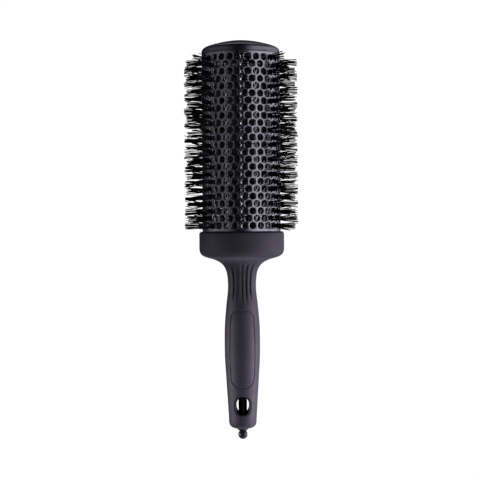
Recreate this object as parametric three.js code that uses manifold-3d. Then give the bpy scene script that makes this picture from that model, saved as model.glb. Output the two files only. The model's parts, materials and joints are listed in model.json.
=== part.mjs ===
// Vented thermal round brush for blow-drying, lying on two of its bristle rows.
// Millimetres, +Z up. The brush axis runs along +X: end cap towards +X, handle towards -X.
// Station s is the distance along the axis from the mouth of the handle bell, positive towards the cap.
import * as THREE from "three";
import { mergeVertices } from "three/addons/utils/BufferGeometryUtils.js";
import Module from "manifold-3d";

const wasm = await Module();
wasm.setup();

// ---- placing ----
const X_OF_S0 = 6.1; // X of the bell's mouth, so that the whole brush is centred on X = 0
const AXIS_HEIGHT = 38.47; // the bristle tips of rows 4 and 5 touch Z = 0

// ---- barrel ----
const BARREL_R = 27.5;
const BARREL_WALL = 1.2;
const BARREL_FROM = -6.0;
const BARREL_TO = 124.0;
const STRIP_HALF_DEG = 8.2; // half the angle of the flat strip that carries a column of tufts
const RING_PITCH = 5.04; // distance between two rings of holes
const RING_COUNT = 24;
const FIRST_RING = 119.9; // station of the ring nearest the cap
const ZIGZAG_DEG = 3.2; // a tuft column's holes stand this far to either side of its middle
const TUFT_HOLE_HALF = 2.0; // half the side of a tuft's hole

// ---- bristle rows ----
const ROWS = 7;
const ROW_STEP_DEG = 360 / ROWS;
const TIP_R = 40.1;
const TIP_LEAN_DEG = 7.0; // a tuft's tip stands this far to the side of its row's middle
const TUFT_NECK_R = 0.85;
const TUFT_TIP_R = 2.7;
const WIRE_AT_R = 23.6; // radius of the circle that the wires stand on
const WIRE_R = 1.0;
const WIRE_HOLE_R = 1.35;
const ROOT_BASE = 24.95; // the root strip lies on the outer side of its wire
const ROOT_TOP = 25.75;
const ROOT_WIDTH = 3.8;
const TUFT_ROOT_SIDE = 0.9; // a tuft leaves the strip this far to the side, below its hole
const ROOT_FROM = -0.2;
const ROOT_TO = 122.2;
const WIRE_FROM = -2.3;
const WIRE_TO = 123.7;

// ---- wire rings ----
const RING_BORE_R = 20.5;
const RING_R = 26.0;
const FRONT_RING = [122.5, 124.0];
const REAR_RING = [-2.6, -0.5];

// ---- handle ----
const BELL_BORE_R = 27.8;
const SEAT = -6.3;
const GAP = 0.3;
const PICK_BORE_R = 3.35;
const WINDOW_AT = -122.3;
const WINDOW_SLEEVE = [11.6, 13.7]; // across, along
const WINDOW_LINER = [11.0, 13.1];
const WINDOW_OPEN = [8.8, 12.3];
const TURN_SIDES = 28;

// ---- helpers ----
const rad = THREE.MathUtils.degToRad;

// A closed three.js geometry as a solid.
function solid(geometry) {
  let g = geometry.clone();
  g.deleteAttribute("normal");
  g.deleteAttribute("uv");
  g = mergeVertices(g, 1e-4);
  const index = g.index.array;
  const keep = [];
  for (let i = 0; i < index.length; i += 3) {
    const [a, b, c] = [index[i], index[i + 1], index[i + 2]];
    if (a !== b && b !== c && c !== a) keep.push(a, b, c);
  }
  const make = (tris) =>
    new wasm.Manifold(
      new wasm.Mesh({
        numProp: 3,
        vertProperties: Float32Array.from(g.attributes.position.array),
        triVerts: Uint32Array.from(tris),
      }),
    );
  const made = make(keep);
  if (made.volume() > 0) return made;
  const turned = [];
  for (let i = 0; i < keep.length; i += 3)
    turned.push(keep[i], keep[i + 2], keep[i + 1]);
  return make(turned);
}

// A solid as a named mesh.
function piece(name, shape, material) {
  const m = shape.getMesh();
  const n = m.numProp;
  const v = new Float32Array(m.numVert * 3);
  for (let i = 0; i < m.numVert; i++)
    v.set(m.vertProperties.subarray(i * n, i * n + 3), i * 3);
  const g = new THREE.BufferGeometry();
  g.setAttribute("position", new THREE.BufferAttribute(v, 3));
  g.setIndex(new THREE.BufferAttribute(new Uint32Array(m.triVerts), 1));
  g.computeVertexNormals();
  const mesh = new THREE.Mesh(g, material);
  mesh.name = name;
  return mesh;
}

// Turns a profile of [station, radius] pairs about the brush axis. A profile that isn't on the axis closes on itself.
function turned(profile, sides = TURN_SIDES) {
  const p = profile.map(([s, r]) => new THREE.Vector2(r, s));
  if (profile[0][1] > 0) p.push(p[0].clone());
  return solid(new THREE.LatheGeometry(p, sides).rotateZ(-Math.PI / 2));
}

// A round rod along the axis direction, at a height above it.
function rod(from, to, r, sides, height = 0) {
  return solid(
    new THREE.CylinderGeometry(r, r, to - from, sides)
      .rotateZ(-Math.PI / 2)
      .translate((from + to) / 2, 0, height),
  );
}

// An oval prism along Z, from -half to +half. Power 1 is an ellipse, and less is squarer.
function oval([across, along], half, at, power = 0.86) {
  const shape = new THREE.Shape();
  const steps = 20;
  for (let i = 0; i < steps; i++) {
    const t = (i / steps) * 2 * Math.PI;
    const c = Math.cos(t);
    const s = Math.sin(t);
    const x = (along / 2) * Math.sign(c) * Math.abs(c) ** power;
    const y = (across / 2) * Math.sign(s) * Math.abs(s) ** power;
    if (i === 0) shape.moveTo(x, y);
    else shape.lineTo(x, y);
  }
  shape.closePath();
  return solid(
    new THREE.ExtrudeGeometry(shape, {
      depth: 2 * half,
      bevelEnabled: false,
      steps: 1,
    }).translate(at, 0, -half),
  );
}

// The outline of the handle: bell, flare, neck, grip and rounded end.
const HANDLE_OUTSIDE = [
  [-0.4, 29.8],
  [-12.5, 29.9],
  [-15.2, 29.2],
  [-17.2, 27.2],
  [-18.6, 23.6],
  [-20.7, 17.4],
  [-22.6, 14.3],
  [-25.4, 12.0],
  [-30.0, 10.5],
  [-38.0, 9.9],
  [-45.5, 10.4],
  [-55.6, 11.5],
  [-67.3, 12.35],
  [-80.0, 12.5],
  [-90.6, 12.3],
  [-107.0, 11.3],
  [-122.9, 10.26],
  [-134.6, 9.6],
  [-136.7, 8.6],
  [-138.2, 6.3],
  [-138.7, 3.9],
];

const CORE_OUTSIDE = [
  [-12.8, 26.0],
  [-15.2, 24.6],
  [-16.9, 20.0],
  [-18.6, 15.6],
  [-21.6, 11.1],
  [-26.0, 8.9],
  [-36.0, 7.8],
  [-62.0, 9.9],
  [-80.0, 10.3],
  [-107.0, 9.1],
  [-135.8, 7.2],
];

// ---- materials ----
const coatedMetal = new THREE.MeshStandardMaterial({
  color: 0x55545a,
  roughness: 0.38,
  metalness: 0.85,
});
const wireSteel = new THREE.MeshStandardMaterial({
  color: 0xb9bcc2,
  roughness: 0.3,
  metalness: 1,
});
const nylon = new THREE.MeshStandardMaterial({
  color: 0x0c0c0e,
  roughness: 0.5,
  metalness: 0,
});
const satinCap = new THREE.MeshStandardMaterial({
  color: 0x232127,
  roughness: 0.42,
  metalness: 0,
});
const softTouch = new THREE.MeshStandardMaterial({
  color: 0x2e2d33,
  roughness: 0.72,
  metalness: 0,
});
const glossBlack = new THREE.MeshStandardMaterial({
  color: 0x070708,
  roughness: 0.18,
  metalness: 0,
});

const brush = new THREE.Group();
brush.position.set(X_OF_S0, 0, AXIS_HEIGHT);

// ---- barrel: a tube with one square-cut hole for each tuft ----
{
  let cuts = [];
  for (let row = 0; row < ROWS; row++)
    for (let i = 0; i < RING_COUNT; i++) {
      const side = (i % 2 === 0 ? -1 : 1) * ZIGZAG_DEG;
      const g = new THREE.BoxGeometry(
        2 * TUFT_HOLE_HALF,
        2 * TUFT_HOLE_HALF,
        6,
      )
        .translate(FIRST_RING - i * RING_PITCH, 0, BARREL_R - 0.5)
        .rotateX(rad(row * ROW_STEP_DEG + side));
      cuts.push(solid(g));
    }
  const cutter = wasm.Manifold.union(cuts);
  // Flat strips carry the tuft holes, three facets fill the arc between two strips.
  const ring = (r) => {
    const path = [];
    const half = STRIP_HALF_DEG;
    const rest = (ROW_STEP_DEG - 2 * half) / 3;
    for (let row = 0; row < ROWS; row++)
      for (const a of [half, half + rest, half + 2 * rest, half + 3 * rest]) {
        const t = rad(row * ROW_STEP_DEG + a);
        path.push(new THREE.Vector2(-r * Math.sin(t), r * Math.cos(t)));
      }
    return path;
  };
  const section = new THREE.Shape(ring(BARREL_R));
  section.holes.push(new THREE.Path(ring(BARREL_R - BARREL_WALL)));
  // The section is drawn across the axis and pushed along it: drawn x becomes Y, drawn y becomes Z.
  const tube = solid(
    new THREE.ExtrudeGeometry(section, {
      depth: BARREL_TO - BARREL_FROM,
      bevelEnabled: false,
      steps: 1,
    })
      .applyMatrix4(
        new THREE.Matrix4().makeBasis(
          new THREE.Vector3(0, 1, 0),
          new THREE.Vector3(0, 0, 1),
          new THREE.Vector3(1, 0, 0),
        ),
      )
      .translate(BARREL_FROM, 0, 0),
  );
  brush.add(piece("barrel", tube.subtract(cutter), coatedMetal));
}

// ---- bristle rows: a root strip along a wire, and one flared tuft for each hole ----
{
  const parts = [
    solid(
      new THREE.BoxGeometry(
        ROOT_TO - ROOT_FROM,
        ROOT_WIDTH,
        ROOT_TOP - ROOT_BASE,
      ).translate((ROOT_FROM + ROOT_TO) / 2, 0, (ROOT_TOP + ROOT_BASE) / 2),
    ),
  ];
  for (let i = 0; i < RING_COUNT; i++) {
    const s = FIRST_RING - i * RING_PITCH;
    const lean = (i % 2 === 0 ? -1 : 1) * rad(TIP_LEAN_DEG);
    const from = new THREE.Vector3(s, -Math.sign(lean) * TUFT_ROOT_SIDE, ROOT_BASE + 0.25);
    const to = new THREE.Vector3(
      s,
      -TIP_R * Math.sin(lean),
      TIP_R * Math.cos(lean),
    );
    const way = to.clone().sub(from);
    const g = new THREE.CylinderGeometry(
      TUFT_TIP_R,
      TUFT_NECK_R,
      way.length(),
      4,
    );
    g.applyQuaternion(
      new THREE.Quaternion().setFromUnitVectors(
        new THREE.Vector3(0, 1, 0),
        way.clone().normalize(),
      ),
    );
    g.translate(...from.clone().add(to).multiplyScalar(0.5).toArray());
    parts.push(solid(g));
  }
  const comb = wasm.Manifold.union(parts);
  const wire = rod(WIRE_FROM, WIRE_TO, WIRE_R, 8, WIRE_AT_R);
  for (let row = 0; row < ROWS; row++) {
    const turn = new THREE.Group();
    turn.rotation.x = rad(row * ROW_STEP_DEG);
    turn.add(piece(`bristle_row_${row + 1}`, comb, nylon));
    turn.add(piece(`bristle_wire_${row + 1}`, wire, wireSteel));
    brush.add(turn);
  }
}

// ---- rings that hold the ends of the seven wires ----
for (const [name, [from, to]] of [
  ["front_wire_ring", FRONT_RING],
  ["rear_wire_ring", REAR_RING],
]) {
  let ring = turned([
    [from, RING_BORE_R],
    [to, RING_BORE_R],
    [to, RING_R],
    [from, RING_R],
  ]);
  for (let row = 0; row < ROWS; row++) {
    const hole = new THREE.CylinderGeometry(
      WIRE_HOLE_R,
      WIRE_HOLE_R,
      to - from + 4,
      8,
    )
      .rotateZ(-Math.PI / 2)
      .translate((from + to) / 2, 0, WIRE_AT_R)
      .rotateX(rad(row * ROW_STEP_DEG));
    ring = ring.subtract(solid(hole));
  }
  brush.add(piece(name, ring, glossBlack));
}

// ---- end cap: a dome with a plug that enters the front ring ----
brush.add(
  piece(
    "end_cap",
    turned([
      [134.2, 0],
      [133.8, 6.5],
      [133.0, 11.5],
      [132.0, 16.0],
      [131.0, 19.9],
      [129.8, 23.6],
      [128.5, 26.0],
      [126.8, 27.2],
      [124.3, 27.5],
      [124.3, 20.2],
      [121.0, 20.2],
      [121.0, 18.2],
      [127.6, 18.2],
      [129.6, 12.0],
      [130.6, 0],
    ]),
    satinCap,
  ),
);

// ---- handle core: plug, hollow stem, liner of the window and the pick's guide ----
{
  const inside = [
    [-135.8, PICK_BORE_R],
    [-110.5, PICK_BORE_R],
    [-108.0, 5.6],
    [-32.0, 5.6],
    [-22.5, 7.2],
    [-18.5, 10.8],
    [-15.8, 16.0],
    [-13.2, 23.6],
    [-5.4, 23.8],
    [-5.4, 18.2],
    [1.0, 18.2],
  ];
  const outside = [
    [1.0, 20.2],
    [-2.9, 20.2],
    [-2.9, 26.0],
    ...CORE_OUTSIDE,
  ];
  const liner = oval(WINDOW_LINER, 12, WINDOW_AT).intersect(
    turned(
      [[-100, 0], ...HANDLE_OUTSIDE.filter(([s]) => s < -99 && s > -137).map(([s, r]) => [s, r - 0.2]), [-136.7, 0]],
    ),
  );
  const core = turned([...outside, ...inside])
    .add(liner)
    .subtract(oval(WINDOW_OPEN, 14, WINDOW_AT, 0.76))
    .subtract(rod(-150, -110.5, PICK_BORE_R, TURN_SIDES));
  brush.add(piece("handle_core", core, glossBlack));
}

// ---- handle sleeve: the soft skin of the bell, neck and grip ----
{
  const inside = [
    [-138.7, PICK_BORE_R],
    [-136.1, PICK_BORE_R],
    [-136.1, 7.2 + GAP],
    ...CORE_OUTSIDE.slice()
      .reverse()
      .slice(1)
      .map(([s, r]) => [s, r + GAP]),
    [SEAT, 26.0 + GAP],
    [SEAT, BELL_BORE_R],
    [-0.4, BELL_BORE_R],
  ];
  const sleeve = turned([...HANDLE_OUTSIDE, ...inside]).subtract(
    oval(WINDOW_SLEEVE, 14, WINDOW_AT),
  );
  brush.add(piece("handle_sleeve", sleeve, softTouch));
}

// ---- sectioning pick: pointed shaft, stop cone and ball, pulled out of the handle's end ----
{
  const ballAt = -143.1;
  const ballR = 3.3;
  const ball = [];
  for (let i = 1; i < 7; i++) {
    const a = rad(38 + (i * (180 - 38)) / 7);
    ball.push([ballAt + ballR * Math.cos(a), ballR * Math.sin(a)]);
  }
  brush.add(
    piece(
      "sectioning_pick",
      turned(
        [
          [-50.0, 0],
          [-50.8, 0.8],
          [-75.0, 1.9],
          [-112.0, 3.0],
          [-139.0, 3.0],
          [-139.0, 3.85],
          [-140.5, 2.45],
          ...ball,
          [ballAt - ballR, 0],
        ],
        20,
      ),
      glossBlack,
    ),
  );
}

const root = new THREE.Group();
root.add(brush);
export default root;
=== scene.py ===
# Vented thermal round brush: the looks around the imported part. Metres, +Z up, brush axis along X.
import json
import math

import bmesh
import bpy
import numpy as np
from mathutils import Matrix, Vector

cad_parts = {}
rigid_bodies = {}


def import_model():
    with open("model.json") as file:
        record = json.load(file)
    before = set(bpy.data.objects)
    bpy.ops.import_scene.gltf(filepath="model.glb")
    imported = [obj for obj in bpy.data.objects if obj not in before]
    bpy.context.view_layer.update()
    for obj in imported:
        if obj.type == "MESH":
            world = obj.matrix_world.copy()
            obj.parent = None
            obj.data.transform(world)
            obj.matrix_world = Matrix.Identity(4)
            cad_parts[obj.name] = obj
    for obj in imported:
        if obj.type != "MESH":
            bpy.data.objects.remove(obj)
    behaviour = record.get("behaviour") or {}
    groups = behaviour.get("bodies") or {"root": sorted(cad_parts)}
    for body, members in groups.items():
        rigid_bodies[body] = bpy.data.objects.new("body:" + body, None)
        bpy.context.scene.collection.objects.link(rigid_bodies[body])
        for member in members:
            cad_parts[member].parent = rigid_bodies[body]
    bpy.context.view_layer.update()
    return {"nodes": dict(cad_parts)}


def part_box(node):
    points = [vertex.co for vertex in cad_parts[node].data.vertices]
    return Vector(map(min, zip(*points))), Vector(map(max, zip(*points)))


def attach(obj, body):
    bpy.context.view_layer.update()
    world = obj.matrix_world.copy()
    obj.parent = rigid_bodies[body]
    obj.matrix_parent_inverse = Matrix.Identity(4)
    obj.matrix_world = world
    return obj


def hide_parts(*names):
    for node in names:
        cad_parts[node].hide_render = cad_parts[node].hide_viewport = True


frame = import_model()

MM = 0.001

# ---------------------------------------------------------------- where things are
barrel_lo, barrel_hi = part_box("barrel")
sleeve_lo, sleeve_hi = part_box("handle_sleeve")
S0 = sleeve_hi.x / MM + 0.4  # X in millimetres of the bell's mouth station
AXIS_Y = (sleeve_lo.y + sleeve_hi.y) / 2 / MM
AXIS_Z = (sleeve_lo.z + sleeve_hi.z) / 2 / MM

BARREL_R = 27.5
BARREL_WALL = 1.2
BARREL_FROM = -6.0
BARREL_TO = 124.15
HOLE_R = 2.36
RING_PITCH = 5.04
RINGS = 24
HOLES = 28
FIRST_RING = 119.9
ZIGZAG = math.radians(360 / HOLES / 4)
ROWS = 7
TIP_R = 40.7
WIRE_AT_R = 24.85


# ---------------------------------------------------------------- mesh helpers
def wrap(a):
    return (a + math.pi) % (2 * math.pi) - math.pi


def place(s, y, z):
    """Millimetres about the brush axis to metres in the row frame."""
    return np.stack([(np.asarray(s) + S0) * MM, (np.asarray(y) + AXIS_Y) * MM, (np.asarray(z) + AXIS_Z) * MM], axis=-1)


def polar(s, r, th):
    """Station, radius and angle. Angle 0 points up, and positive turns towards -Y."""
    return place(s + 0 * r, -r * np.sin(th), r * np.cos(th))


def make(name, verts, faces, material, replaces=(), body="brush", sharp=38, attributes=None):
    mesh = bpy.data.meshes.new(name)
    mesh.from_pydata([tuple(v) for v in verts], [], [tuple(int(i) for i in f) for f in faces])
    mesh.validate(clean_customdata=False)
    mesh.update()
    for key, values in (attributes or {}).items():
        a = mesh.attributes.new(key, "FLOAT", "POINT")
        a.data.foreach_set("value", np.asarray(values, np.float32))
    obj = bpy.data.objects.new(name, mesh)
    bpy.context.scene.collection.objects.link(obj)
    mesh.materials.append(material)
    finish_mesh(obj, sharp)
    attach(obj, body)
    if replaces:
        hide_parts(*replaces)
    return obj


def finish_mesh(obj, sharp=38):
    bm = bmesh.new()
    bm.from_mesh(obj.data)
    bmesh.ops.recalc_face_normals(bm, faces=bm.faces)
    bm.to_mesh(obj.data)
    bm.free()
    obj.data.shade_smooth()
    obj.data.set_sharp_from_angle(angle=math.radians(sharp))


def smooth_line(points, step, tension=1.0):
    """A finely sampled line through [station, radius] points, by monotone cubic pieces along its length."""
    p = np.array(points, float)
    d = np.r_[0, np.cumsum(np.hypot(*np.diff(p, axis=0).T))]
    n = max(2, int(math.ceil(d[-1] / step)))
    t = np.linspace(0, d[-1], n + 1)
    out = []
    for c in range(2):
        y = p[:, c]
        h = np.diff(d)
        m = np.diff(y) / h
        g = np.zeros(len(y))
        g[0], g[-1] = m[0], m[-1]
        for i in range(1, len(y) - 1):
            g[i] = (m[i - 1] * h[i] + m[i] * h[i - 1]) / (h[i - 1] + h[i])
        k = np.clip(np.searchsorted(d, t, side="right") - 1, 0, len(h) - 1)
        u = (t - d[k]) / h[k]
        out.append(
            (2 * u**3 - 3 * u**2 + 1) * y[k]
            + (u**3 - 2 * u**2 + u) * h[k] * g[k]
            + (-2 * u**3 + 3 * u**2) * y[k + 1]
            + (u**3 - u**2) * h[k] * g[k + 1]
        )
    return np.stack(out, axis=1)


def turned(profile, n, change=None):
    """Vertices and faces of a profile turned about the axis. A profile off the axis closes on itself. change(s, r, th) gives the radius."""
    p = np.array(profile, float)
    th = np.arange(n) * 2 * math.pi / n
    on_axis = [p[0, 1] < 1e-9, p[-1, 1] < 1e-9]
    body = p[(1 if on_axis[0] else 0) : (len(p) - 1 if on_axis[1] else len(p))]
    S, T = np.meshgrid(body[:, 0], th, indexing="ij")
    R = np.repeat(body[:, 1:2], n, axis=1)
    if change is not None:
        R = change(S, R, T)
    verts = polar(S, R, T).reshape(-1, 3)
    m = len(body)
    faces = []
    loops = m if not any(on_axis) else m - 1
    for i in range(loops):
        a, b = i * n, ((i + 1) % m) * n
        for j in range(n):
            k = (j + 1) % n
            faces.append((a + j, a + k, b + k, b + j))
    extra = []
    if on_axis[0]:
        c = len(verts) + len(extra)
        extra.append(place(p[0, 0], 0.0, 0.0))
        faces += [(c, (j + 1) % n, j) for j in range(n)]
    if on_axis[1]:
        c = len(verts) + len(extra)
        extra.append(place(p[-1, 0], 0.0, 0.0))
        a = (m - 1) * n
        faces += [(c, a + j, a + (j + 1) % n) for j in range(n)]
    if extra:
        verts = np.vstack([verts, np.array(extra).reshape(-1, 3)])
    return verts, faces


def oval_loop(across, along, at, n=96, power=0.86):
    """An oval with fuller corners than an ellipse, which has power 1."""
    t = np.arange(n) * 2 * math.pi / n
    c, s = np.cos(t), np.sin(t)
    return at + along / 2 * np.sign(c) * abs(c) ** power, across / 2 * np.sign(s) * abs(s) ** power


def oval_prism(across, along, at, low, high, n=96, power=0.86):
    x, y = oval_loop(across, along, at, n, power)
    bottom = place(x, y, np.full(n, low))
    top = place(x, y, np.full(n, high))
    faces = [(j, (j + 1) % n, n + (j + 1) % n, n + j) for j in range(n)]
    faces += [tuple(range(n - 1, -1, -1)), tuple(range(n, 2 * n))]
    return np.vstack([bottom, top]), faces


def scratch(name, verts, faces):
    mesh = bpy.data.meshes.new(name)
    mesh.from_pydata([tuple(v) for v in verts], [], [tuple(int(i) for i in f) for f in faces])
    obj = bpy.data.objects.new(name, mesh)
    bpy.context.scene.collection.objects.link(obj)
    bm = bmesh.new()
    bm.from_mesh(mesh)
    bmesh.ops.recalc_face_normals(bm, faces=bm.faces)
    bm.to_mesh(mesh)
    bm.free()
    return obj


def cut(obj, steps):
    """Applies boolean steps [(operation, other), ...] to obj, and removes the others."""
    for operation, other in steps:
        mod = obj.modifiers.new("cut", "BOOLEAN")
        mod.operation = operation
        mod.solver = "EXACT"
        mod.object = other
        dg = bpy.context.evaluated_depsgraph_get()
        made = bpy.data.meshes.new_from_object(obj.evaluated_get(dg), depsgraph=dg)
        old = obj.data
        obj.modifiers.clear()
        obj.data = made
        made.name = obj.name
        bpy.data.meshes.remove(old)
        bpy.data.objects.remove(other)
    return obj


# ---------------------------------------------------------------- materials
def material(name, color, metallic=0.0, roughness=0.5, **sockets):
    m = bpy.data.materials.new(name)
    m.use_nodes = True
    nt = m.node_tree
    bsdf = nt.nodes["Principled BSDF"]
    bsdf.inputs["Base Color"].default_value = (*color, 1)
    bsdf.inputs["Metallic"].default_value = metallic
    bsdf.inputs["Roughness"].default_value = roughness
    for k, v in sockets.items():
        bsdf.inputs[k.replace("_", " ")].default_value = v
    return m, nt, bsdf


def node(nt, kind, **values):
    n = nt.nodes.new(kind)
    for k, v in values.items():
        if k in n.inputs:
            n.inputs[k].default_value = v
        else:
            setattr(n, k, v)
    return n


def noise(nt, scale, detail=3.0, rough=0.55, stretch=None):
    tc = node(nt, "ShaderNodeTexCoord")
    n = node(nt, "ShaderNodeTexNoise")
    n.inputs["Scale"].default_value = scale
    n.inputs["Detail"].default_value = detail
    n.inputs["Roughness"].default_value = rough
    if stretch:
        mp = node(nt, "ShaderNodeMapping")
        mp.inputs["Scale"].default_value = stretch
        nt.links.new(tc.outputs["Object"], mp.inputs["Vector"])
        nt.links.new(mp.outputs["Vector"], n.inputs["Vector"])
    else:
        nt.links.new(tc.outputs["Object"], n.inputs["Vector"])
    return n.outputs["Fac"]


def remap(nt, value, low, high, a=0.3, b=0.7):
    n = node(nt, "ShaderNodeMapRange")
    n.inputs["From Min"].default_value = a
    n.inputs["From Max"].default_value = b
    n.inputs["To Min"].default_value = low
    n.inputs["To Max"].default_value = high
    nt.links.new(value, n.inputs["Value"])
    return n.outputs["Result"]


def mix(nt, fac, a, b):
    n = node(nt, "ShaderNodeMix", data_type="RGBA")
    nt.links.new(fac, n.inputs["Factor"])
    for sock, v in ((n.inputs[6], a), (n.inputs[7], b)):
        if isinstance(v, tuple):
            sock.default_value = (*v, 1)
        else:
            nt.links.new(v, sock)
    return n.outputs[2]


def bump(nt, height, distance, strength=1.0, normal=None):
    n = node(nt, "ShaderNodeBump")
    n.inputs["Distance"].default_value = distance
    n.inputs["Strength"].default_value = strength
    nt.links.new(height, n.inputs["Height"])
    if normal is not None:
        nt.links.new(normal, n.inputs["Normal"])
    return n.outputs["Normal"]


def attribute(nt, name):
    n = node(nt, "ShaderNodeAttribute")
    n.attribute_name = name
    return n.outputs["Fac"]


def soft_step(nt, socket, a, b, low, high):
    n = nt.nodes.new("ShaderNodeMapRange")
    n.interpolation_type = "SMOOTHSTEP"
    for key, v in (("From Min", a), ("From Max", b), ("To Min", low), ("To Max", high)):
        n.inputs[key].default_value = v
    nt.links.new(socket, n.inputs["Value"])
    return n.outputs["Result"]


def calc(nt, operation, a, b=0.0):
    n = nt.nodes.new("ShaderNodeMath")
    n.operation = operation
    for sock, v in ((n.inputs[0], a), (n.inputs[1], b)):
        if isinstance(v, float):
            sock.default_value = v
        else:
            nt.links.new(v, sock)
    return n.outputs[0]


def coated_metal():
    m, nt, b = material("coated_metal", (0.075, 0.073, 0.082), metallic=0.92)
    speck = noise(nt, 5200, 2)
    cloud = noise(nt, 120, 3)
    base = mix(nt, remap(nt, cloud, 0, 1), (0.17, 0.165, 0.19), (0.228, 0.223, 0.25))
    base = mix(nt, remap(nt, speck, 0.0, 0.35), base, (0.3, 0.297, 0.315))
    # lighter metal at the hole rims: partly the coat worn off the edges, partly a painted highlight
    base = mix(nt, remap(nt, attribute(nt, "rim_wear_and_highlight"), 0, 0.6, 0, 1), base, (0.24, 0.237, 0.26))
    # painted shade: near black down the holes and inside the tube, where the inside weight is 1
    base = mix(nt, attribute(nt, "inside"), base, (0.002, 0.002, 0.0024))
    nt.links.new(base, b.inputs["Base Color"])
    nt.links.new(remap(nt, noise(nt, 900, 3), 0.17, 0.26), b.inputs["Roughness"])
    nt.links.new(bump(nt, speck, 0.00002, 0.35), b.inputs["Normal"])
    return m


def soft_touch():
    m, nt, b = material("soft_touch", (0.013, 0.012, 0.017), roughness=0.6, Sheen_Weight=0.16, Sheen_Roughness=0.4)
    b.inputs["Specular IOR Level"].default_value = 0.32
    b.inputs["Specular Tint"].default_value = (0.93, 0.9, 1.0, 1)
    b.inputs["Sheen Tint"].default_value = (0.9, 0.87, 1.0, 1)
    grain = noise(nt, 7000, 2, 0.6)
    cloud = noise(nt, 60, 4)
    base = mix(nt, remap(nt, cloud, 0, 1), (0.0236, 0.0215, 0.031), (0.0292, 0.0268, 0.038))
    base = mix(nt, remap(nt, noise(nt, 2600, 2), 0, 0.3, 0.55, 0.8), base, (0.044, 0.041, 0.054))
    # painted shade: near black at the bell's mouth and in the socket just inside it, where the barrel meets the bell
    base = mix(nt, attribute(nt, "painted_shade_at_mouth"), base, (0.0015, 0.0013, 0.002))
    nt.links.new(base, b.inputs["Base Color"])
    rough = calc(nt, "ADD", remap(nt, noise(nt, 240, 3), 0.54, 0.64), calc(nt, "MULTIPLY", attribute(nt, "painted_shade_at_mouth"), 0.35))
    nt.links.new(rough, b.inputs["Roughness"])
    nt.links.new(bump(nt, grain, 0.000022, 0.5), b.inputs["Normal"])
    return m


def cap_satin():
    m, nt, b = material("cap_satin", (0.08, 0.076, 0.09), metallic=0.9, roughness=0.2)
    grain = noise(nt, 5200, 2)
    base = mix(nt, remap(nt, noise(nt, 90, 3), 0, 1), (0.082, 0.077, 0.094), (0.1, 0.095, 0.113))
    base = mix(nt, remap(nt, grain, 0.0, 0.35), base, (0.15, 0.146, 0.162))
    nt.links.new(base, b.inputs["Base Color"])
    nt.links.new(remap(nt, noise(nt, 700, 3), 0.16, 0.22), b.inputs["Roughness"])
    nt.links.new(bump(nt, grain, 0.000012, 0.4), b.inputs["Normal"])
    return m


def nylon():
    m, nt, b = material("nylon", (0.004, 0.004, 0.005), roughness=0.4)
    b.inputs["Specular IOR Level"].default_value = 0.12
    tone = attribute(nt, "tone")
    base = mix(nt, tone, (0.001, 0.001, 0.0016), (0.007, 0.0068, 0.0085))
    nt.links.new(base, b.inputs["Base Color"])
    nt.links.new(remap(nt, noise(nt, 1500, 2), 0.4, 0.55), b.inputs["Roughness"])
    nt.links.new(bump(nt, noise(nt, 4000, 2), 0.00002, 0.3), b.inputs["Normal"])
    return m


def steel():
    m, nt, b = material("wire_steel", (0.8, 0.8, 0.82), metallic=1.0, roughness=0.3)
    lines = noise(nt, 1400, 3, 0.6, (1, 6, 6))
    nt.links.new(mix(nt, remap(nt, lines, 0, 1), (0.75, 0.75, 0.77), (0.92, 0.92, 0.94)), b.inputs["Base Color"])
    nt.links.new(remap(nt, lines, 0.24, 0.38), b.inputs["Roughness"])
    nt.links.new(bump(nt, lines, 0.00001, 0.3), b.inputs["Normal"])
    return m


def gloss_black(name, color, low, high, level=0.5):
    m, nt, b = material(name, color, roughness=low)
    b.inputs["Specular IOR Level"].default_value = level
    base = mix(nt, remap(nt, noise(nt, 300, 3), 0, 1), color, tuple(c * 1.5 + 0.0015 for c in color))
    nt.links.new(base, b.inputs["Base Color"])
    nt.links.new(remap(nt, noise(nt, 800, 3), low, high), b.inputs["Roughness"])
    nt.links.new(bump(nt, noise(nt, 350, 2), 0.00004, 0.25), b.inputs["Normal"])
    return m


MAT_BARREL = coated_metal()
MAT_SOFT = soft_touch()
MAT_CAP = cap_satin()
MAT_NYLON = nylon()
MAT_WIRE = steel()
MAT_CORE = gloss_black("moulded_black", (0.002, 0.002, 0.0026), 0.4, 0.52, 0.16)
MAT_PICK = gloss_black("pick_black", (0.006, 0.006, 0.008), 0.26, 0.36, 0.3)


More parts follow.
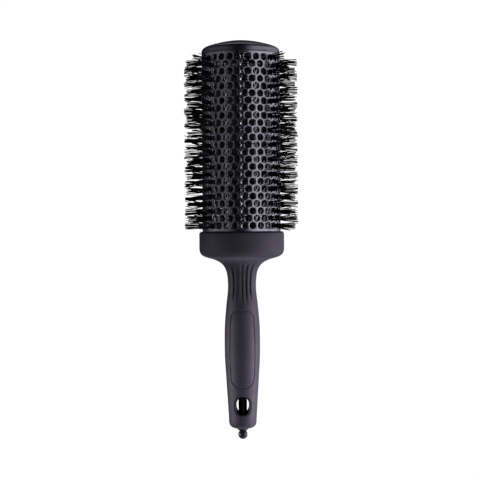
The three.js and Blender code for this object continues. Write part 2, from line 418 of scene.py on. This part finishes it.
# ---------------------------------------------------------------- barrel
def build_barrel():
    """A punched tube. Each hole sits in a brick of the tube's wall, half a brick aside from the ring before."""
    pitch = 2 * math.pi / HOLES
    across, along = 6, 4  # pieces of a brick's edge, so a hole has 20 sides
    n = 2 * (across + along)
    keys, verts, rim_wear_and_highlight, faces = {}, [], [], []

    def vert(s, th, r, edge=0.0):
        k = (round(s, 3), round((th % (2 * math.pi)) * 1e4) % round(2 * math.pi * 1e4), round(r, 3))
        if k not in keys:
            keys[k] = len(verts)
            verts.append((s, r, th))
            rim_wear_and_highlight.append(edge)
        return keys[k]

    unit = []  # the brick's border, from its lower left corner and round
    for i in range(across):
        unit.append((-0.5 + i / across, -0.5))
    for i in range(along):
        unit.append((0.5, -0.5 + i / along))
    for i in range(across):
        unit.append((0.5 - i / across, 0.5))
    for i in range(along):
        unit.append((-0.5, 0.5 - i / along))
    start = math.atan2(-0.5 * RING_PITCH, -0.5 * pitch * BARREL_R)
    r_in = BARREL_R - BARREL_WALL
    for ring in range(RINGS):
        s_mid = FIRST_RING - ring * RING_PITCH
        shift = -ZIGZAG if ring % 2 == 0 else ZIGZAG
        for col in range(HOLES):
            th_mid = shift + col * pitch
            outer, mid, edge, wall_a, wall_b, inner_edge, inner = [], [], [], [], [], [], []
            for q in range(n):
                u, v = unit[q]
                # half way between an even spacing round the hole and the way to the brick's border
                even = start + 2 * math.pi * q / n
                a = even + 0.5 * wrap(math.atan2(v * RING_PITCH, u * pitch * BARREL_R) - even)
                ca, sa = math.cos(a), math.sin(a)

                def at(radius, r, e=0.0):
                    return vert(s_mid + radius * sa, th_mid + radius * ca / BARREL_R, r, e)

                outer.append(vert(s_mid + v * RING_PITCH, th_mid + u * pitch, BARREL_R))
                # the last number is the rim weight, which lightens the metal there: partly worn coat, partly painted
                # highlight
                mid.append(at(HOLE_R + 0.2, BARREL_R, 0.2))
                edge.append(at(HOLE_R + 0.06, BARREL_R - 0.09, 1.0))
                wall_a.append(at(HOLE_R, BARREL_R - 0.2, 0.5))
                wall_b.append(at(HOLE_R, r_in + 0.12, 0.0))
                inner_edge.append(at(HOLE_R + 0.1, r_in, 0.0))
                inner.append(vert(s_mid + v * RING_PITCH, th_mid + u * pitch, r_in))
            loops = [outer, mid, edge, wall_a, wall_b, inner_edge, inner]
            for a_, b_ in zip(loops, loops[1:]):
                for q in range(n):
                    k = (q + 1) % n
                    faces.append((a_[q], a_[k], b_[k], b_[q]))
    # plain margins at both ends, with softened lips
    count = HOLES * across
    for top in (True, False):
        ring = 0 if top else RINGS - 1
        shift = -ZIGZAG if ring % 2 == 0 else ZIGZAG
        th = [shift + (i / across - 0.5) * pitch for i in range(count)]
        s_edge = FIRST_RING - ring * RING_PITCH + (0.5 if top else -0.5) * RING_PITCH
        if top:
            line = [(s_edge, BARREL_R), (BARREL_TO - 0.25, BARREL_R), (BARREL_TO, BARREL_R - 0.2), (BARREL_TO, r_in + 0.1), (BARREL_TO - 0.1, r_in), (s_edge, r_in)]
        else:
            line = [(s_edge, BARREL_R), (0.6, BARREL_R), (-2.5, BARREL_R), (BARREL_FROM + 0.2, BARREL_R), (BARREL_FROM, BARREL_R - 0.2), (BARREL_FROM, r_in + 0.1), (BARREL_FROM + 0.1, r_in), (s_edge, r_in)]
        loops = [[vert(s, t, r) for t in th] for s, r in line]
        for a_, b_ in zip(loops, loops[1:]):
            for q in range(count):
                k = (q + 1) % count
                faces.append((a_[q], a_[k], b_[k], b_[q]))
    p = np.array(verts)
    return polar(p[:, 0], p[:, 1], p[:, 2]), faces, rim_wear_and_highlight


v, f, rim_wear_and_highlight = build_barrel()
depth = BARREL_R * MM - np.hypot(v[:, 1] - AXIS_Y * MM, v[:, 2] - AXIS_Z * MM)
inside = np.clip((depth / MM - 0.2) / 0.3, 0, 1)  # painted shade: the metal's base colour goes near black from 0.2 mm down each hole and over the inside of the tube
make("perforated_barrel", v, f, MAT_BARREL, ["barrel"], sharp=50, attributes={"rim_wear_and_highlight": rim_wear_and_highlight, "inside": inside})


# ---------------------------------------------------------------- bristles and their wires
def tubes(paths, radii, sides):
    """Round closed threads along paths (threads, points, 3), with radii (points,). One mesh, with rounded free ends."""
    P = np.asarray(paths, float)
    N, K, _ = P.shape
    T = np.gradient(P, axis=1)
    T /= np.linalg.norm(T, axis=2, keepdims=True)
    side = np.cross(T, np.array([1.0, 0.013, 0.007]))
    side /= np.linalg.norm(side, axis=2, keepdims=True)
    up = np.cross(T, side)
    a = np.arange(sides) * 2 * math.pi / sides
    R = np.asarray(radii, float)[None, :, None, None]
    ring = P[:, :, None, :] + R * (side[:, :, None, :] * np.cos(a)[None, None, :, None] + up[:, :, None, :] * np.sin(a)[None, None, :, None])
    ends = np.stack([P[:, 0] - T[:, 0] * R[0, 0] * 0.5, P[:, -1] + T[:, -1] * R[0, -1] * 0.5], axis=1)
    per = K * sides + 2
    verts = np.concatenate([ring.reshape(N, K * sides, 3), ends], axis=1).reshape(-1, 3)
    one = []
    for k in range(K - 1):
        for j in range(sides):
            m = (j + 1) % sides
            one.append((k * sides + j, k * sides + m, (k + 1) * sides + m, (k + 1) * sides + j))
    caps = []
    for j in range(sides):
        m = (j + 1) % sides
        caps.append((K * sides, m, j))
        caps.append((K * sides + 1, (K - 1) * sides + j, (K - 1) * sides + m))
    faces = []
    for t in range(N):
        o = t * per
        faces += [tuple(i + o for i in q) for q in one]
        faces += [tuple(i + o for i in q) for q in caps]
    return verts, faces, per


THREADS = (14, 14, 14, 14, 15, 17, 15)  # in a tuft, for each row
# for each row: share of bent threads, and where across the row their tips end
STRAY = [(0.16, 3, 11), (0.3, -14, -3), (0.1, -5, 5), (0.1, -5, 5), (0.1, -5, 5), (0.1, -5, 5), (0.24, 1, 11)]
THREAD_R = 0.27


def bristle_row(row):
    """One row of tufts. The threads of a tuft leave its hole side by side and open a little, and now and then some lean together."""
    rng = np.random.default_rng(4100 + row)
    th_row = row * 2 * math.pi / ROWS
    paths = []
    for i in range(RINGS):
        s_mid = FIRST_RING - i * RING_PITCH
        sign = -1 if i % 2 == 0 else 1
        t_hole = sign * BARREL_R * math.sin(ZIGZAG)
        order = (np.arange(THREADS[row]) + rng.uniform(0.1, 0.9, THREADS[row])) / THREADS[row] * 2 - 1
        drift = rng.normal(0, 0.35)
        fan = rng.uniform(2.2, 3.0)
        meet = rng.random() < 0.22
        meet_at = rng.uniform(-1.5, 1.5)
        for o in order:
            hole_s = 1.5 * o * rng.uniform(0.75, 1.0)
            room = math.sqrt(max(1.72**2 - hole_s**2, 0.1))
            hole = np.array([s_mid + hole_s, t_hole + sign * room * rng.uniform(0.1, 1.0), 27.4])
            tip_s = fan * o + drift + rng.normal(0, 0.28)
            if meet and rng.random() < 0.7:
                tip_s = meet_at + 0.35 * (tip_s - meet_at)
            if rng.random() < 0.12:
                tip_s += rng.normal(0, 1.4)
            tip_t = sign * rng.uniform(1.7, 4.6) + rng.normal(0, 0.7)
            if rng.random() < STRAY[row][0]:
                tip_t = rng.uniform(*STRAY[row][1:])
            tip_r = TIP_R - abs(rng.normal(0, 0.5)) - (rng.random() < 0.08) * rng.uniform(0.5, 3.5)
            ang = tip_t / TIP_R
            tip = np.array([s_mid + tip_s, tip_r * math.sin(ang), tip_r * math.cos(ang)])
            root = np.array([s_mid + rng.uniform(-1.6, 1.6), rng.uniform(1.15, 1.9) * sign, WIRE_AT_R - 0.2])
            go = (hole - root) / np.linalg.norm(hole - root)
            aim = tip - hole
            length = np.linalg.norm(aim)
            m0 = (0.3 * go + 0.7 * aim / length) * length
            m1 = aim + rng.normal(0, 0.7, 3) * np.array([1, 1, 0.1])
            u = np.linspace(0, 1, 7)[:, None]
            bend = (2 * u**3 - 3 * u**2 + 1) * hole + (u**3 - 2 * u**2 + u) * m0 + (-2 * u**3 + 3 * u**2) * tip + (u**3 - u**2) * m1
            paths.append(np.vstack([root[None], bend]))
    P = np.array(paths)
    s, t, z = P[..., 0], P[..., 1], P[..., 2]
    y = -(t * math.cos(th_row) + z * math.sin(th_row))
    zz = z * math.cos(th_row) - t * math.sin(th_row)
    low = -AXIS_Z + THREAD_R + 0.05
    zz = np.where(zz < low, low + (zz - low) * 0.02, zz)
    world = place(s, y, zz)
    radii = np.array([1, 1, 1, 1, 1, 0.98, 0.96, 0.92]) * THREAD_R * MM
    verts, faces, per = tubes(world, radii, 6)
    tone = np.repeat(np.clip(rng.beta(1.3, 3.5, len(P)), 0, 1), per)
    make(f"bristles_{row + 1}", verts, faces, MAT_NYLON, [f"bristle_row_{row + 1}"], sharp=60, attributes={"tone": tone})


def wire(row):
    """Two steel wires twisted round the roots of the row, half a turn for each tuft."""
    th_row = row * 2 * math.pi / ROWS
    s = np.arange(-2.3, 123.71, RING_PITCH * 2 / 20)
    paths = []
    for k in range(2):
        a = 2 * math.pi * (s - FIRST_RING) / (2 * RING_PITCH) + math.pi * k + 0.25
        ends = np.clip(np.minimum(s + 2.3, 123.7 - s) / 3.0, 0, 1)
        r = 0.7 + 0.24 * ends
        t = r * np.sin(a)
        z = WIRE_AT_R + r * np.cos(a)
        y = -(t * math.cos(th_row) + z * math.sin(th_row))
        zz = z * math.cos(th_row) - t * math.sin(th_row)
        paths.append(place(s, y, zz))
    verts, faces, _ = tubes(np.array(paths), np.full(len(s), 0.43 * MM), 12)
    make(f"twisted_wire_{row + 1}", verts, faces, MAT_WIRE, [f"bristle_wire_{row + 1}"], sharp=60)


for row in range(ROWS):
    bristle_row(row)
    wire(row)


# ---------------------------------------------------------------- end cap
cap_out = smooth_line(
    [(134.2, 0.0), (134.1, 3.5), (133.8, 6.8), (133.05, 11.5), (132.05, 16.0), (131.0, 19.9), (130.2, 22.6), (129.5, 24.4), (128.8, 25.9), (128.0, 26.85), (127.1, 27.35), (126.0, 27.49), (124.45, 27.5)], 0.45
)
cap_in = [(124.3, 27.38), (124.3, 20.35), (124.15, 20.2), (121.15, 20.2), (121.0, 20.05), (121.0, 18.35), (121.15, 18.2), (127.6, 18.2), (129.6, 12.0), (130.6, 0.0)]
cap_out[0, 1] = 0
v, f = turned(np.vstack([cap_out, cap_in]), 144)
make("domed_cap", v, f, MAT_CAP, ["end_cap"], sharp=40)


# ---------------------------------------------------------------- handle sleeve
SLEEVE_LINE = [
    (0.05, 28.9), (-0.01, 29.05), (-0.15, 29.12), (-0.6, 29.14), (-0.73, 29.2), (-0.8, 29.5), (-0.93, 29.72), (-1.25, 29.82), (-5.0, 29.86), (-11.0, 29.92), (-12.8, 29.85), (-14.6, 29.45), (-16.2, 28.4), (-17.4, 26.7), (-18.3, 24.4),
    (-19.2, 21.0), (-20.3, 18.0), (-21.6, 15.6), (-23.2, 13.7), (-25.4, 12.05), (-28.2, 10.9), (-31.4, 10.3), (-36.0, 9.92), (-40.5, 9.92),
    (-45.5, 10.4), (-50.0, 10.95), (-55.6, 11.5), (-62.4, 12.08), (-67.3, 12.35), (-74.0, 12.49), (-80.0, 12.5), (-90.6, 12.3), (-99.4, 11.75),
    (-107.0, 11.3), (-114.1, 10.85), (-122.9, 10.3), (-131.7, 9.8), (-134.4, 9.65), (-135.9, 9.3), (-137.1, 8.5), (-138.0, 7.2), (-138.5, 5.7), (-138.7, 4.5), (-138.72, 3.65),
]
SLEEVE_INSIDE = [
    (-138.6, 3.35), (-136.1, 3.35), (-136.1, 7.5), (-107.0, 9.4), (-80.0, 10.6), (-62.0, 10.2), (-36.0, 8.1), (-26.0, 9.2), (-21.6, 11.4), (-18.6, 15.9), (-16.9, 20.3),
    (-15.2, 24.9), (-12.8, 26.3), (-6.3, 26.3), (-6.3, 27.8), (-0.8, 27.8), (-0.5, 27.95), (-0.4, 28.25),
]
WINDOW_AT = -122.3
WINDOW_SLEEVE = (11.5, 13.6)


def flute_depth(S, R, T):
    depth = np.zeros_like(S)
    for face in (0.0, math.pi):
        for deg in (-36, -16.5, 0, 16.5, 36):
            start = -21.3 if abs(deg) < 20 else -20.6
            stop = -51.0 if abs(deg) < 30 else -49.5
            a = np.clip((start - S) / 3.2, 0, 1)
            b = np.clip((S - stop) / 9.0, 0, 1)
            env = (a * a * (3 - 2 * a)) * (b * b * (3 - 2 * b)) ** 0.7
            d = wrap(T - face - math.radians(deg)) * R
            w = 0.058 * R
            depth += 1.05 * env * np.exp(-((d / w) ** 2))
    return depth


def panel_distance(S, R, T):
    """Distance in millimetres from the outline of the thumb panel, negative inside."""
    side = np.cos(T) > 0
    p = np.abs(R * np.sin(T))
    mid, half = -82.5, 26.9
    h = 7.55 + 1.15 * np.clip(1 - ((S + 82.0) / 27.0) ** 2, 0, 1)
    rc = np.where(S > mid, 5.2, 6.6)
    dx, dy = p - h + rc, np.abs(S - mid) - half + rc
    d = np.hypot(np.maximum(dx, 0), np.maximum(dy, 0)) + np.minimum(np.maximum(dx, dy), 0) - rc
    near = np.abs(np.cos(T)) > 0.3
    return np.where(near, d, 99.0)


def window_distance(S, R, T):
    """Rough distance in millimetres outside the window's edge."""
    x = (S - WINDOW_AT) / (WINDOW_SLEEVE[1] / 2)
    y = R * np.sin(T) / (WINDOW_SLEEVE[0] / 2)
    q = (np.abs(x) ** (2 / 0.86) + np.abs(y) ** (2 / 0.86)) ** (0.86 / 2)
    return (q - 1) * 6.2


def sleeve_radius(S, R, T):
    outer = np.zeros(S.shape, bool)
    outer[:OUTER_ROWS] = True
    depth = flute_depth(S, R, T) + 0.5 * np.exp(-((panel_distance(S, R, T) / 0.36) ** 2))
    w = np.clip(1 - np.maximum(window_distance(S, R, T), 0) / 0.9, 0, 1)
    depth = depth + 0.4 * w * w
    return np.where(outer, R - depth, R)


def graded(points, zones):
    """The smooth line, sampled with the step of the zone that each part lies in."""
    fine = smooth_line(points, 0.05)
    keep, last = [fine[0]], fine[0]
    for q in fine[1:-1]:
        step = next(st for low, st in zones if q[0] >= low)
        if math.hypot(*(q - last)) >= step:
            keep.append(q)
            last = q
    keep.append(fine[-1])
    return np.array(keep)


outer_line = graded(SLEEVE_LINE, [(-2.0, 0.08), (-11.5, 2.0), (-20.0, 0.6), (-54.5, 0.5), (-110.6, 0.28), (-114.5, 1.0), (-130.5, 0.4), (-134.0, 0.8), (-200, 0.35)])
OUTER_ROWS = len(outer_line)
v, f = turned(np.vstack([outer_line, SLEEVE_INSIDE]), 240, sleeve_radius)
sleeve = scratch("soft_touch_handle", v, f)
cut(sleeve, [("DIFFERENCE", scratch("cutter", *oval_prism(*WINDOW_SLEEVE, WINDOW_AT, -14, 14)))])
sleeve.data.materials.clear()
sleeve.data.materials.append(MAT_SOFT)
finish_mesh(sleeve, 42)
co = np.zeros(len(sleeve.data.vertices) * 3, np.float32)
sleeve.data.vertices.foreach_get("co", co)
co = co.reshape(-1, 3)
# the bell's mouth edge and the socket just inside it: painted shade of the gap, also made rougher
painted_shade_at_mouth = ((co[:, 0] / MM - S0 > -1.2) | (np.hypot(co[:, 1] - AXIS_Y * MM, co[:, 2] - AXIS_Z * MM) < 0.0285) & (co[:, 0] / MM - S0 > -6)).astype(np.float32)
sleeve.data.attributes.new("painted_shade_at_mouth", "FLOAT", "POINT").data.foreach_set("value", painted_shade_at_mouth)
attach(sleeve, "brush")
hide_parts("handle_sleeve")


# ---------------------------------------------------------------- handle core with the window's liner
CORE_OUT = [
    (1.0, 20.1), (-2.9, 20.2), (-2.9, 26.0), (-12.8, 26.0), (-15.2, 24.6), (-16.9, 20.0), (-18.6, 15.6), (-21.6, 11.1), (-26.0, 8.9), (-36.0, 7.8), (-62.0, 9.9), (-80.0, 10.3), (-107.0, 9.1), (-135.8, 7.2),
]
CORE_IN = [
    (-135.8, 3.35), (-110.5, 3.35), (-108.0, 5.6), (-32.0, 5.6), (-22.5, 7.2), (-18.5, 10.8), (-15.8, 16.0), (-13.2, 23.6), (-5.4, 23.8), (-5.4, 18.2), (1.0, 18.2),
]
v, f = turned(CORE_OUT + CORE_IN, 96)
core = scratch("rigid_core", v, f)


def liner():
    """The oval lining of the window: a wall whose lips follow the round of the grip, a little below it."""
    n = 120
    ox, oy = oval_loop(11.0, 13.1, WINDOW_AT, n)
    lx, ly = oval_loop(9.6, 12.7, WINDOW_AT, n, 0.8)
    verts, rings = [], []
    for sign in (1, -1):
        for x, y, drop in ((ox, oy, 0.42), (lx, ly, 0.30)):
            r = np.interp(-x, [-p[0] for p in SLEEVE_LINE], [p[1] for p in SLEEVE_LINE])
            z = sign * (np.sqrt(np.maximum(r**2 - y**2, 1)) - drop)
            rings.append(len(verts) * 1)
            verts += list(place(x, y, z))
    faces = []
    top_o, top_l, bot_o, bot_l = (rings[0], rings[1], rings[2], rings[3])
    for j in range(n):
        k = (j + 1) % n
        faces.append((top_o + j, top_o + k, top_l + k, top_l + j))
        faces.append((bot_o + j, bot_o + k, bot_l + k, bot_l + j))
        faces.append((top_o + j, top_o + k, bot_o + k, bot_o + j))
    faces.append(tuple(top_l + j for j in range(n)))
    faces.append(tuple(bot_l + j for j in range(n)))
    return np.array(verts), faces


cut(
    core,
    [
        ("UNION", scratch("liner", *liner())),
        ("DIFFERENCE", scratch("cutter", *oval_prism(8.8, 12.3, WINDOW_AT, -16, 16, 120, 0.76))),
        ("DIFFERENCE", scratch("bore", *turned([(-150.0, 0.0), (-150.0, 3.35), (-110.6, 3.35), (-110.6, 0.0)], 96))),
    ],
)
core.data.materials.clear()
core.data.materials.append(MAT_CORE)
finish_mesh(core, 35)
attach(core, "brush")
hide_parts("handle_core")


# ---------------------------------------------------------------- sectioning pick
ball = [(-143.1 + 3.3 * math.cos(a), 3.3 * math.sin(a)) for a in np.linspace(math.radians(42), math.pi, 22)]
pick_line = (
    [(-50.0, 0.0), (-50.06, 0.3), (-50.35, 0.6), (-50.9, 0.82)]
    + [tuple(q) for q in smooth_line([(-51.5, 0.88), (-75.0, 1.9), (-105.0, 2.8), (-112.0, 3.0)], 3.0)]
    + [(-113.0, 3.0), (-138.9, 3.0), (-139.0, 3.1), (-139.0, 3.65), (-139.1, 3.8), (-139.3, 3.85), (-139.5, 3.75), (-140.1, 2.95), (-140.4, 2.6), (-140.58, 2.4)]
    + ball
)
pick_line[-1] = (pick_line[-1][0], 0.0)
v, f = turned(pick_line, 72)
make("pull_out_pick", v, f, MAT_PICK, ["sectioning_pick"], body="pick", sharp=45)

# the two wire rings keep their CAD shape
for name in ("front_wire_ring", "rear_wire_ring"):
    o = frame["nodes"][name]
    o.data.materials.clear()
    o.data.materials.append(MAT_CORE)

# ---------------------------------------------------------------- floor, light, camera
def camera_only(obj):
    """Keeps a white floor or backdrop from glowing onto the object."""
    obj.visible_diffuse = False
    obj.visible_glossy = False


floor_mesh = bpy.data.meshes.new("floor")
bm = bmesh.new()
bmesh.ops.create_grid(bm, x_segments=2, y_segments=2, size=4.0)
bm.to_mesh(floor_mesh)
bm.free()
floor = bpy.data.objects.new("floor", floor_mesh)
bpy.context.scene.collection.objects.link(floor)
floor.location.z = -0.0002
fm, fnt, fb = material("floor_white", (0, 0, 0), roughness=1.0)
fb.inputs["Specular IOR Level"].default_value = 0.0
fb.inputs["Emission Color"].default_value = (1, 1, 1, 1)


# painted contact shadow in the floor's glow: deep under the barrel, faint under the grip
ftc = fnt.nodes.new("ShaderNodeTexCoord")
fsep = fnt.nodes.new("ShaderNodeSeparateXYZ")
fnt.links.new(ftc.outputs["Object"], fsep.inputs["Vector"])
fx = fsep.outputs["X"]
fy = calc(fnt, "ABSOLUTE", calc(fnt, "SUBTRACT", fsep.outputs["Y"], AXIS_Y * MM))
painted_shadow_under_barrel = calc(
    fnt,
    "MULTIPLY",
    soft_step(fnt, fy, 0.0205, 0.0298, 0.995, 0.0),
    calc(fnt, "MULTIPLY", soft_step(fnt, fx, (S0 - 24) * MM, (S0 + 3) * MM, 0.0, 1.0), soft_step(fnt, fx, (S0 + 121) * MM, (S0 + 140) * MM, 1.0, 0.0)),
)
painted_shadow_under_grip = calc(
    fnt,
    "MULTIPLY",
    soft_step(fnt, fy, 0.0, 0.013, 0.3, 0.0),
    calc(fnt, "MULTIPLY", soft_step(fnt, fx, (S0 - 116) * MM, (S0 - 90) * MM, 0.0, 1.0), soft_step(fnt, fx, (S0 - 4) * MM, (S0 + 6) * MM, 1.0, 0.0)),
)
fnt.links.new(calc(fnt, "MULTIPLY", 1.04, calc(fnt, "SUBTRACT", 1.0, calc(fnt, "MAXIMUM", painted_shadow_under_barrel, painted_shadow_under_grip))), fb.inputs["Emission Strength"])
floor_mesh.materials.append(fm)
camera_only(floor)

backdrop_mesh = bpy.data.meshes.new("backdrop")
bm = bmesh.new()
bmesh.ops.create_uvsphere(bm, u_segments=64, v_segments=32, radius=3.9)
bm.to_mesh(backdrop_mesh)
bm.free()
backdrop = bpy.data.objects.new("backdrop", backdrop_mesh)
bpy.context.scene.collection.objects.link(backdrop)
bd, bnt, bb = material("backdrop_white", (0, 0, 0), roughness=1.0)
bb.inputs["Specular IOR Level"].default_value = 0.0
bb.inputs["Emission Color"].default_value = (1, 1, 1, 1)
bb.inputs["Emission Strength"].default_value = 1.05
backdrop_mesh.materials.append(bd)
camera_only(backdrop)
backdrop.visible_shadow = False
backdrop.visible_transmission = False

# soft surroundings: a dim wall of light on the left, a bright one on the right, nothing right above
world = bpy.data.worlds.new("studio")
bpy.context.scene.world = world
world.use_nodes = True
wnt = world.node_tree
bg = wnt.nodes["Background"]
tc = wnt.nodes.new("ShaderNodeTexCoord")
sep = wnt.nodes.new("ShaderNodeSeparateXYZ")
wnt.links.new(tc.outputs["Generated"], sep.inputs["Vector"])


LEFT, RIGHT, DARK, END, BACK = 0.37, 1.72, 0.009, 0.6, 0.1
wx, wy, wz = sep.outputs["X"], sep.outputs["Y"], sep.outputs["Z"]
across = calc(wnt, "SQRT", calc(wnt, "ADD", calc(wnt, "ADD", calc(wnt, "MULTIPLY", wy, wy), calc(wnt, "MULTIPLY", wz, wz)), 0.02))
lateral = calc(wnt, "DIVIDE", wy, across)
left = calc(wnt, "MULTIPLY", soft_step(wnt, lateral, 0.2, 0.9, 0.0, LEFT), soft_step(wnt, wz, -0.75, -0.08, 0.12, 1.0))
right = calc(wnt, "MULTIPLY", soft_step(wnt, lateral, -0.8, -0.14, RIGHT, 0.0), soft_step(wnt, wz, -0.95, -0.2, 0.25, 1.0))
end = calc(wnt, "MULTIPLY", soft_step(wnt, wx, 0.45, 0.85, 0.0, END), soft_step(wnt, wz, -0.45, 0.0, 1.0, 0.0))
end = calc(wnt, "MULTIPLY", end, soft_step(wnt, calc(wnt, "ABSOLUTE", wy), 0.2, 0.5, 1.0, 0.0))
behind = calc(wnt, "MULTIPLY", soft_step(wnt, wx, -0.7, -0.3, BACK, 0.0), soft_step(wnt, wz, 0.05, 0.45, 0.0, 1.0))
walls = calc(wnt, "MULTIPLY", calc(wnt, "ADD", left, right), soft_step(wnt, wx, 0.35, 0.72, 1.0, 0.1))
wnt.links.new(calc(wnt, "ADD", calc(wnt, "ADD", walls, calc(wnt, "ADD", end, behind)), DARK), bg.inputs["Strength"])
bg.inputs["Color"].default_value = (0.93, 0.905, 1.0, 1)


def softbox(name, at, look, size, watts, color=(1, 1, 1), spread=180):
    l = bpy.data.lights.new(name, "AREA")
    l.shape = "RECTANGLE"
    l.size, l.size_y = size
    l.energy = watts
    l.color = color
    l.spread = math.radians(spread)
    o = bpy.data.objects.new(name, l)
    bpy.context.scene.collection.objects.link(o)
    o.location = at
    o.rotation_mode = "QUATERNION"
    o.rotation_quaternion = (Vector(look) - Vector(at)).to_track_quat("-Z", "X")
    return o


softbox("softbox_right", (-0.13, -0.62, 0.12), (-0.11, 0, 0.04), (0.3, 0.1), 0.165, (0.95, 0.92, 1.0), 22)
softbox("softbox_left", (-0.13, 0.62, 0.12), (-0.11, 0, 0.04), (0.3, 0.1), 0.135, (0.95, 0.92, 1.0), 22)

# a glint for the two steel wires that show deep in the holes: the top one and the low one on the right
steel_only = bpy.data.collections.new("steel_wires")
for row in (0, 3):
    steel_only.objects.link(bpy.data.objects[f"twisted_wire_{row + 1}"])
glint = softbox("wire_light", (-0.05, -0.30, 0.75), (0.06, 0, 0.06), (0.9, 0.4), 5.5)
glint.light_linking.receiver_collection = steel_only

scene = bpy.context.scene
cam_data = bpy.data.cameras.new("camera")
cam = bpy.data.objects.new("camera", cam_data)
scene.collection.objects.link(cam)
scene.camera = cam
cam_data.lens = 90.8
cam_data.sensor_width = 36
cam_data.clip_start, cam_data.clip_end = 0.05, 20
cam.location = Vector(((S0 - 2.5) * MM, (AXIS_Y + 1.2) * MM, (AXIS_Z + 854.0) * MM))
target = Vector(((S0 - 6.0) * MM, (AXIS_Y + 1.2) * MM, AXIS_Z * MM))
back = (cam.location - target).normalized()
roll = math.radians(0.37)
up = Vector((math.cos(roll), -math.sin(roll), 0))
right = up.cross(back).normalized()
up = back.cross(right).normalized()
cam.rotation_mode = "QUATERNION"
cam.rotation_quaternion = Matrix((right, up, back)).transposed().to_quaternion()

scene.view_settings.view_transform = "Standard"
scene.view_settings.look = "None"

bpy.context.view_layer.update()
